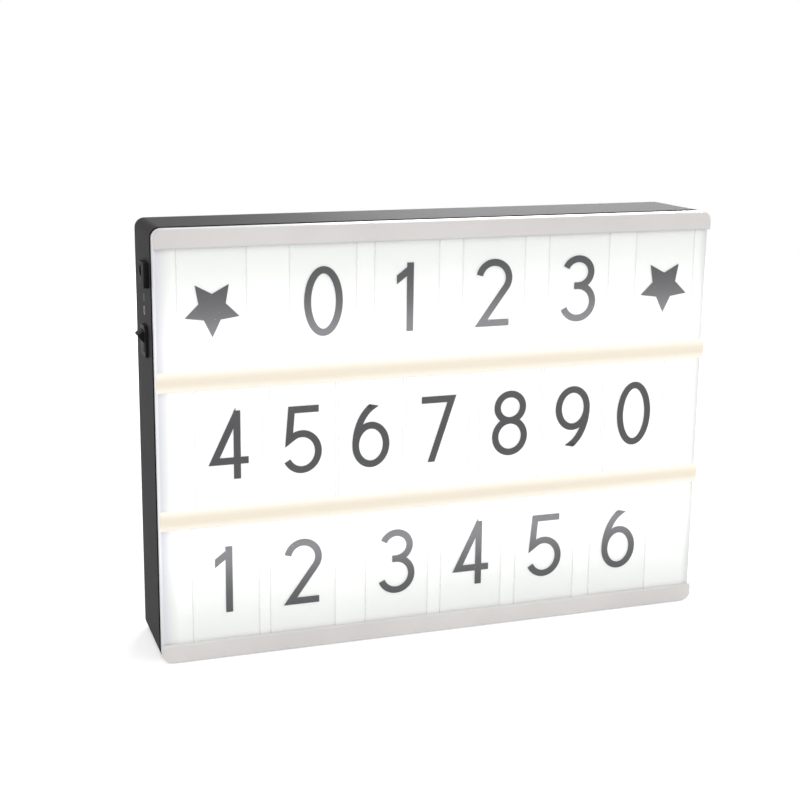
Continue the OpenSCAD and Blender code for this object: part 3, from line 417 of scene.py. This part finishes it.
def opal_cover():
    """Opal acrylic, injection moulded: milky white, satin, lit from behind. The light is
    strongest in two bands before the boards and fades at the sides, where it turns cool. A
    painted highlight in the glow brightens the rounded left edge."""
    # Each pair is where a fade starts and where it is complete
    side_fade = (1.2 * MM, 9 * MM)
    # The edge fade and its glow paint a highlight on the rounded left edge of the cover
    edge_highlight_fade = (1.1 * MM, 0.5 * MM)
    cool_fade = (6 * MM, 1.5 * MM)
    level_fade = (box_h / 2 - 6 * MM, box_h / 2 - 60 * MM)
    skirt_fade = (panel_y + 2.5 * MM, panel_y + 1.5 * MM)
    right_rate = 1.8
    edge_painted_highlight = 0.4
    band_light = 0.12
    middle_light = 0.27
    all_over = 0.235
    side_loss = 0.68

    material, tree, shader, place = new_material("opal_acrylic", IOR=1.49, Roughness=0.38)
    x, y, z = add_node(tree, "SeparateXYZ", {0: place}).node.outputs
    from_left = add_node(tree, "Math", {0: x, 1: half_w}, operation="ADD")
    from_right = add_node(tree, "Math", {0: half_w, 1: x}, operation="SUBTRACT")
    from_right = add_node(tree, "Math", {0: from_right, 1: right_rate}, operation="MULTIPLY")
    from_side = add_node(tree, "Math", {0: from_left, 1: from_right}, operation="MINIMUM")
    side = add_node(tree, "MapRange",
                    {"Value": from_side, "From Min": side_fade[0], "From Max": side_fade[1]})
    # Painted highlight: extra glow and a whiter tint on the cover's rounded left edge
    edge = add_node(tree, "MapRange", {"Value": from_left, "From Min": edge_highlight_fade[0],
                                       "From Max": edge_highlight_fade[1], "To Max": edge_painted_highlight})
    cool = add_node(tree, "MapRange",
                    {"Value": from_left, "From Min": cool_fade[0], "From Max": cool_fade[1]})
    cool = add_node(tree, "Math", {0: cool, 1: edge}, operation="SUBTRACT")
    from_middle = add_node(tree, "Math", {0: z, 1: box_h / 2}, operation="SUBTRACT")
    from_middle = add_node(tree, "Math", {0: from_middle}, operation="ABSOLUTE")
    level = add_node(tree, "MapRange",
                     {"Value": from_middle, "From Min": level_fade[0], "From Max": level_fade[1]},
                     interpolation_type="SMOOTHSTEP")
    depth = add_node(tree, "MapRange",
                     {"Value": y, "From Min": skirt_fade[0], "From Max": skirt_fade[1]})

    bands = add_node(tree, "Math", {0: lamp_light(tree, z), 1: band_light}, operation="MULTIPLY")
    wide = add_node(tree, "Math", {0: level, 1: middle_light, 2: all_over},
                    operation="MULTIPLY_ADD")
    lit_side = add_node(tree, "Math", {0: side, 1: edge}, operation="MAXIMUM")
    lit_side = add_node(tree, "Math", {0: lit_side, 1: side_loss, 2: 1 - side_loss},
                        operation="MULTIPLY_ADD")
    glow = add_node(tree, "Math", {0: bands, 1: wide}, operation="ADD")
    glow = add_node(tree, "Math", {0: glow, 1: lit_side}, operation="MULTIPLY")
    glow = add_node(tree, "Math", {0: glow, 1: depth}, operation="MULTIPLY")
    tree.links.new(glow, shader.inputs["Emission Strength"])
    tint = add_node(tree, "Mix", {FACTOR: cool, FIRST: colour("#FEFFFC"), SECOND: colour("#ECEDF7")},
                    out=MIXED, data_type="RGBA")
    tree.links.new(tint, shader.inputs["Emission Color"])
    base = add_node(tree, "Mix", {FACTOR: cool, FIRST: colour("#D0D2D0"), SECOND: colour("#D1D1D7")},
                    out=MIXED, data_type="RGBA")
    tree.links.new(base, shader.inputs["Base Color"])
    return material


def ink():
    """Black screen print on clear film: matte and nearly opaque, so it turns to a lighter grey
    where the lamps behind it are near."""
    mottle = 0.5 * MM
    mottle_low = 0.85
    mottle_swing = 0.3
    # Pinholes in the print are drawn 0.5 mm wide, since finer ones don't show: a tenth of
    # their spacing to each side
    hole_spacing = 2.6 * MM
    hole_half = 0.1
    hole_light = 1.2
    lamp_share = 0.23
    all_over = 0.022

    material, tree, shader, place = new_material("screen_print", Base_Color=colour("#242426"),
                                                 Emission_Color=colour("#F4F4FA"), Roughness=0.6)
    z = add_node(tree, "SeparateXYZ", {0: place}, out="Z")
    fine = add_node(tree, "TexNoise", {"Vector": place, "Scale": 1 / mottle})
    fine = add_node(tree, "Math", {0: fine, 1: mottle_swing, 2: mottle_low},
                    operation="MULTIPLY_ADD")
    dots = add_node(tree, "TexVoronoi", {"Vector": place, "Scale": 1 / hole_spacing})
    hole = add_node(tree, "Math", {0: dots, 1: hole_half}, operation="LESS_THAN")
    clear = add_node(tree, "Math", {0: hole, 1: hole_light, 2: fine}, operation="MULTIPLY_ADD")
    through = add_node(tree, "Math", {0: lamp_light(tree, z), 1: lamp_share, 2: all_over},
                       operation="MULTIPLY_ADD")
    through = add_node(tree, "Math", {0: through, 1: clear}, operation="MULTIPLY")
    tree.links.new(through, shader.inputs["Emission Strength"])
    return material


def lit_rail():
    """White polystyrene, extruded: the rails between the windows glow cream, since the light
    from behind passes through their whole thickness. Faint streaks run along them."""
    core_half = 0.5 * MM
    # Streaks per metre along, into and up the rail: each is about 83 by 25 by 4 mm
    streaks = (12, 40, 260)
    core_light = 0.16
    lip_light = 0.06

    material, tree, shader, place = new_material("rail_lit", Roughness=0.42, IOR=1.5)
    z = add_node(tree, "SeparateXYZ", {0: place}, out="Z")
    away = []
    for rail in ("rail_lower", "rail_upper"):
        from_rail = add_node(tree, "Math", {0: z, 1: middle(rail).z}, operation="SUBTRACT")
        away.append(add_node(tree, "Math", {0: from_rail}, operation="ABSOLUTE"))
    nearest = add_node(tree, "Math", {0: away[0], 1: away[1]}, operation="MINIMUM")
    off = add_node(tree, "MapRange", {"Value": nearest, "From Min": core_half,
                                      "From Max": rail_h / 2}, interpolation_type="SMOOTHSTEP")
    streak = add_node(tree, "Mapping", {"Vector": place, "Scale": streaks})
    cloud = add_node(tree, "TexNoise", {"Vector": streak, "Scale": 1.0, "Detail": CLOUD_DETAIL})
    core = add_node(tree, "Mix", {FACTOR: cloud, FIRST: colour("#E5DACA"), SECOND: colour("#E7DECC")},
                    out=MIXED, data_type="RGBA")
    for socket, lip in (("Base Color", "#ECE7DA"), ("Emission Color", "#FFFBF0")):
        shade = add_node(tree, "Mix", {FACTOR: off, FIRST: core, SECOND: colour(lip)},
                         out=MIXED, data_type="RGBA")
        tree.links.new(shade, shader.inputs[socket])
    glow = add_node(tree, "Math", {0: off, 1: lip_light, 2: core_light}, operation="MULTIPLY_ADD")
    tree.links.new(glow, shader.inputs["Emission Strength"])
    grain(tree, place, shader, 0.6 * MM, SHALLOW, (0.36, 0.46))
    return material


def clear_film(name, code, alpha, rough):
    """Clear polyester film: a faint cool tint and a smooth gloss that waves a little."""
    wave = 6 * MM
    material, tree, shader, place = new_material(name, Base_Color=colour(code), Alpha=alpha, IOR=1.57)
    grain(tree, place, shader, wave, SHALLOW, rough)
    return material


def cell_sleeve():
    """Shrunk PVC sleeve on a steel can: blue between two pale bands, and a bare metal end
    beyond each."""
    blue_half = 15.5 * MM
    sleeve_half = 21.5 * MM
    material, tree, shader, place = new_material("cell_sleeve", IOR=1.54)
    z = add_node(tree, "SeparateXYZ", {0: place}, out="Z")
    away = add_node(tree, "Math", {0: z, 1: middle("battery_cells").z}, operation="SUBTRACT")
    away = add_node(tree, "Math", {0: away}, operation="ABSOLUTE")
    bare = add_node(tree, "Math", {0: away, 1: sleeve_half}, operation="GREATER_THAN")
    band = add_node(tree, "Math", {0: away, 1: blue_half}, operation="GREATER_THAN")
    shade = add_node(tree, "Mix", {FACTOR: band, FIRST: colour("#2E5A7A"), SECOND: colour("#B9BEC2")},
                     out=MIXED, data_type="RGBA")
    shade = add_node(tree, "Mix", {FACTOR: bare, FIRST: shade, SECOND: colour("#C9CBCD")},
                     out=MIXED, data_type="RGBA")
    tree.links.new(shade, shader.inputs["Base Color"])
    tree.links.new(bare, shader.inputs["Metallic"])
    grain(tree, place, shader, 0.8 * MM, SHALLOW, (0.22, 0.34))
    return material


# One finish for each slot of the frame
FINISHES = {
    "black_abs": housing_abs(),
    "cover_white": opal_cover(),
    # White polystyrene, extruded, without light behind it: a soft cool grey-white
    "rail_white": moulded("rail_unlit", "#D3CFCE", "#DAD7D5", 0.6 * MM, (0.36, 0.46),
                          patch=60 * MM, depth=SHALLOW, IOR=1.5),
    "rail_cream": lit_rail(),
    # Polyester film, rolled clear: hardly seen but for its gloss
    "card_film": clear_film("polyester_film", "#F2F4F4", 0.05, (0.05, 0.12)),
    # Foamed polyester sheet: chalky white
    "reflector_white": moulded("reflector_foam", "#EDEDEA", "#F4F4F2", 0.5 * MM, (0.7, 0.85)),
    # White solder mask, baked over copper tracks: a low gloss
    "board_white": moulded("solder_mask", "#E2E5DE", "#EFF1EB", 0.4 * MM, (0.28, 0.4),
                           patch=4 * MM),
    # Yellow phosphor under clear silicone: a warm glow
    "lamp_yellow": moulded("lamp_phosphor", "#F3D98A", "#FBE7A6", FINE, (0.2, 0.32),
                           Emission_Color=colour("#FFE9B0"), Emission_Strength=0.6),
    # Thick-film resistor on ceramic, under a black glaze: dull black
    "resistor_black": moulded("resistor_ceramic", "#1E1E20", "#2E2E31", FINE, (0.4, 0.55)),
    # Steel, zinc plated: pale grey with a soft shine
    "screw_zinc": metal("steel_zinc_plated", "#BFC3C7", (0.24, 0.36)),
    # Nylon from a smooth mould: near black, a soft gloss
    "switch_black": moulded("nylon_black", "#151416", "#1B1A1C", FINE, (0.5, 0.6),
                            Specular_IOR_Level=0.12),
    # The rocker's nylon is the darkest, so that it stands out from its frame
    "rocker_black": moulded("nylon_rocker", "#0E0D0F", "#131214", FINE, (0.5, 0.6),
                            Specular_IOR_Level=0.1),
    # Brass, rolled and tinned: pale yellow, satin
    "terminal_brass": metal("brass_tinned", "#C8B27E", (0.22, 0.34)),
    # The socket's nylon is duller than the switch's
    "socket_black": moulded("nylon_socket", "#121113", "#181719", FINE, (0.54, 0.64),
                            Specular_IOR_Level=0.1),
    # Brass, turned and nickel plated: warm white, bright
    "pin_nickel": metal("brass_nickel_plated", "#CFCDC8", (0.12, 0.22)),
    "cell_sleeve": cell_sleeve(),
    # Spring steel, wound or pressed, nickel plated: cool white, satin
    "contact_nickel": metal("steel_nickel_plated", "#CDCFD0", (0.2, 0.32)),
    # Soft PVC, extruded over the wire: a waxy sheen
    "wire_red": moulded("pvc_red", "#A3242A", "#B32B30", FINE, (0.32, 0.42), patch=3 * MM),
    "wire_black": moulded("pvc_black", "#1D1D1F", "#272729", FINE, (0.32, 0.42), patch=3 * MM),
}
# Film where the die cut it: frosted, so it scatters the light and shows as a pale grey line
CUT_EDGE = clear_film("film_cut_edge", "#CDD1D2", 0.14, (0.5, 0.6))
INK = ink()
# Grey of the switch marks: a painted highlight, for the light that the raised strokes of the black
# moulded relief catch
MARK_PAINTED_HIGHLIGHT = moulded("mark_painted_highlight", "#8A8686", "#949090", FINE, (0.5, 0.6), patch=2 * MM)

# ---------------------------------------------------------------- pieces

for node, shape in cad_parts.items():
    shape.data.materials[0] = FINISHES[slots[node]]

for row, signs in ROWS.items():
    for number, sign in enumerate(signs, 1):
        card = f"card_{row}_{number}"
        card_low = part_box(card)[0]
        shells = sign_shells(sign, middle(card).x, card_low.z + SIGN_FOOT * MM, card_low.y)
        put_mesh(f"print_{row}_{number}", shells, INK, card)
        put_mesh(f"edge_{row}_{number}", [card_edge(card)], CUT_EDGE, card)

# Fillets that the moulded parts have, too fine for the solids: node, body and radius in mm
for node, body, radius in (("switch_frame", "box", 0.3), ("switch_rocker", "rocker", 0.3),
                           ("socket_body", "box", 0.35), ("battery_door", "door", 0.35)):
    rounded(node, body, radius * MM)

# The switch's two marks on the left side: a bar for on above a ring for off. The marks'
# reach and the ring's half width are in mm
MARK_Y = 1 * MM
MARK_HALF = 0.45 * MM
MARK_PROUD = 0.05 * MM
MARK_IN = 0.1 * MM
MARK_REACH = 1.9
RING_HALF_W = 1.5
RING_STEPS = 28
ON_Z = 183 * MM
OFF_Z = 176.6 * MM


def side_mark(name, path, z, closed):
    """One raised mark, whose grey is a painted highlight: a stroke drawn in X and Z is turned to
    face -X, so x = left_x + p_y, y = MARK_Y - p_x, z = z + p_z."""
    points, faces = stroke(np.asarray(path) * MM, MARK_HALF, -MARK_PROUD, MARK_IN, closed)
    p_x, p_y, p_z = points.T
    turned = np.stack([left_x + p_y, MARK_Y - p_x, z + p_z], 1)
    put_mesh(name, [(turned, faces)], MARK_PAINTED_HIGHLIGHT, "box")


side_mark("mark_on", [(0, -MARK_REACH), (0, MARK_REACH)], ON_Z, False)
side_mark("mark_off", loop(0, 0, RING_HALF_W, MARK_REACH, RING_STEPS), OFF_Z, True)

# ---------------------------------------------------------------- floor and light

FLOOR_RADIUS = 1.6
FLOOR_SIDES = 96
AMBIENT = 0.5

# Soft square lamps: the direction from the object's middle, the distance and the side in
# metres, and the watts. The rear one lights the top face from behind
LAMPS = {
    "key": ((-0.8, -1.4, 1.3), 1.6, 1.2, 10),
    "fill": ((1.3, -1.2, 0.8), 1.8, 1.4, 5),
    "rear": ((0.78, 1.3, 0.3), 1.8, 1.0, 32),
}


def sees_white(tree):
    """1 for what the camera, gloss and clear pieces see, else 0."""
    rays = add_node(tree, "LightPath").node.outputs
    seen = add_node(tree, "Math", {0: rays["Is Camera Ray"], 1: rays["Is Glossy Ray"]},
                    operation="ADD")
    seen = add_node(tree, "Math", {0: seen, 1: rays["Is Transmission Ray"]}, operation="ADD")
    return add_node(tree, "Math", {0: seen, 1: 1.0}, operation="MINIMUM")


def floor_material():
    """Plain pale floor: near white under the object, clear at its edge so that the white
    surroundings go on without a line."""
    near = 0.15 * FLOOR_RADIUS
    far = 0.6 * FLOOR_RADIUS
    near_lift = 0.4
    far_lift = 0.6
    material, tree, shader, place = new_material("floor_pale", Base_Color=colour("#F4F4F4"),
                                                 Roughness=0.8)
    away = add_node(tree, "VectorMath", {0: place}, out="Value", operation="LENGTH")
    fade = add_node(tree, "MapRange", {"Value": away, "From Min": far, "From Max": FLOOR_RADIUS},
                    interpolation_type="SMOOTHSTEP")
    lift = add_node(tree, "MapRange", {"Value": away, "From Min": near, "From Max": far,
                                       "To Min": near_lift, "To Max": far_lift})
    lift = add_node(tree, "Math", {0: lift, 1: sees_white(tree)}, operation="MULTIPLY")
    lift = add_node(tree, "Emission", {"Strength": lift})
    lit = add_node(tree, "AddShader", {0: shader.outputs[0], 1: lift})
    clear = add_node(tree, "BsdfTransparent")
    both = add_node(tree, "MixShader", {0: fade, 1: lit, 2: clear})
    tree.links.new(both, tree.nodes["Material Output"].inputs["Surface"])
    return material


def put_floor():
    """Disc under the object: a fan of triangles from its middle to radius (cos a, sin a)."""
    k = np.arange(FLOOR_SIDES)
    angle = np.radians(360 / FLOOR_SIDES * k)
    rim = np.stack([np.cos(angle), np.sin(angle), 0 * angle], 1) * FLOOR_RADIUS
    points = np.vstack([[(0, 0, 0)], rim])
    faces = np.stack([0 * k, 1 + k, 1 + (k + 1) % FLOOR_SIDES], 1)
    mesh = bpy.data.meshes.new("floor")
    mesh.from_pydata(points.tolist(), [], faces.tolist())
    mesh.materials.append(floor_material())
    floor = put_object("floor", mesh)


def put_world():
    """White for what the camera, gloss and clear pieces see; a plain level for soft light."""
    world = bpy.data.worlds.new("studio")
    bpy.context.scene.world = world
    world.use_nodes = True
    tree = world.node_tree
    level = add_node(tree, "Math", {0: sees_white(tree), 1: 1 - AMBIENT, 2: AMBIENT},
                     operation="MULTIPLY_ADD")
    tree.links.new(level, tree.nodes["Background"].inputs["Strength"])
    tree.nodes["Background"].inputs["Color"].default_value = (1, 1, 1, 1)


def put_lamp(name, direction, distance, size, power):
    """Square soft lamp that looks at the object's middle from a direction."""
    data = bpy.data.lights.new(name, "AREA")
    data.size = size
    data.energy = power
    lamp = put_object(name, data)
    back = np.array(direction, float) / np.linalg.norm(direction)
    lamp.location = back * distance + np.array([0, 0, box_h / 2])
    lamp.rotation_euler = Vector(-back).to_track_quat("-Z", "Y").to_euler()


put_floor()
put_world()
for name, lamp in LAMPS.items():
    put_lamp(name, *lamp)

# ---------------------------------------------------------------- camera

# The camera stands left of the front and above it. It looks at a point on the rails' plane.
# Angles in radians, lengths in metres
CAMERA_AZIMUTH = -0.3052
CAMERA_ELEVATION = 0.2123
CAMERA_ROLL = 0.0031
CAMERA_DISTANCE = 0.7095
CAMERA_TARGET = (-0.0554, front_y, 0.1504)
SENSOR_MM = 36
FRAME_PX = 800
FOCAL_PX = 1418.6
# The photograph's perspective centre lies left of and above its middle
CENTRE_PX = (343.6, 362.0)


def put_camera():
    """Camera that looks along -back from target + distance * back, rolled about its axis."""
    data = bpy.data.cameras.new("camera")
    data.sensor_width = SENSOR_MM
    data.lens = FOCAL_PX * SENSOR_MM / FRAME_PX
    data.shift_x = 0.5 - CENTRE_PX[0] / FRAME_PX
    data.shift_y = CENTRE_PX[1] / FRAME_PX - 0.5
    camera = put_object("camera", data)
    across = math.cos(CAMERA_ELEVATION)
    back = Vector((math.sin(CAMERA_AZIMUTH) * across, -math.cos(CAMERA_AZIMUTH) * across,
                      math.sin(CAMERA_ELEVATION)))
    right = (-back).cross(Vector((0, 0, 1))).normalized()
    up = right.cross(-back)
    side = right * math.cos(CAMERA_ROLL) + up * math.sin(CAMERA_ROLL)
    head = up * math.cos(CAMERA_ROLL) - right * math.sin(CAMERA_ROLL)
    camera.matrix_world = Matrix.LocRotScale(
        Vector(CAMERA_TARGET) + back * CAMERA_DISTANCE,
        Matrix((side, head, back)).transposed().to_quaternion(), None)
    bpy.context.scene.camera = camera


put_camera()

scene = bpy.context.scene
scene.view_settings.view_transform = "Standard"
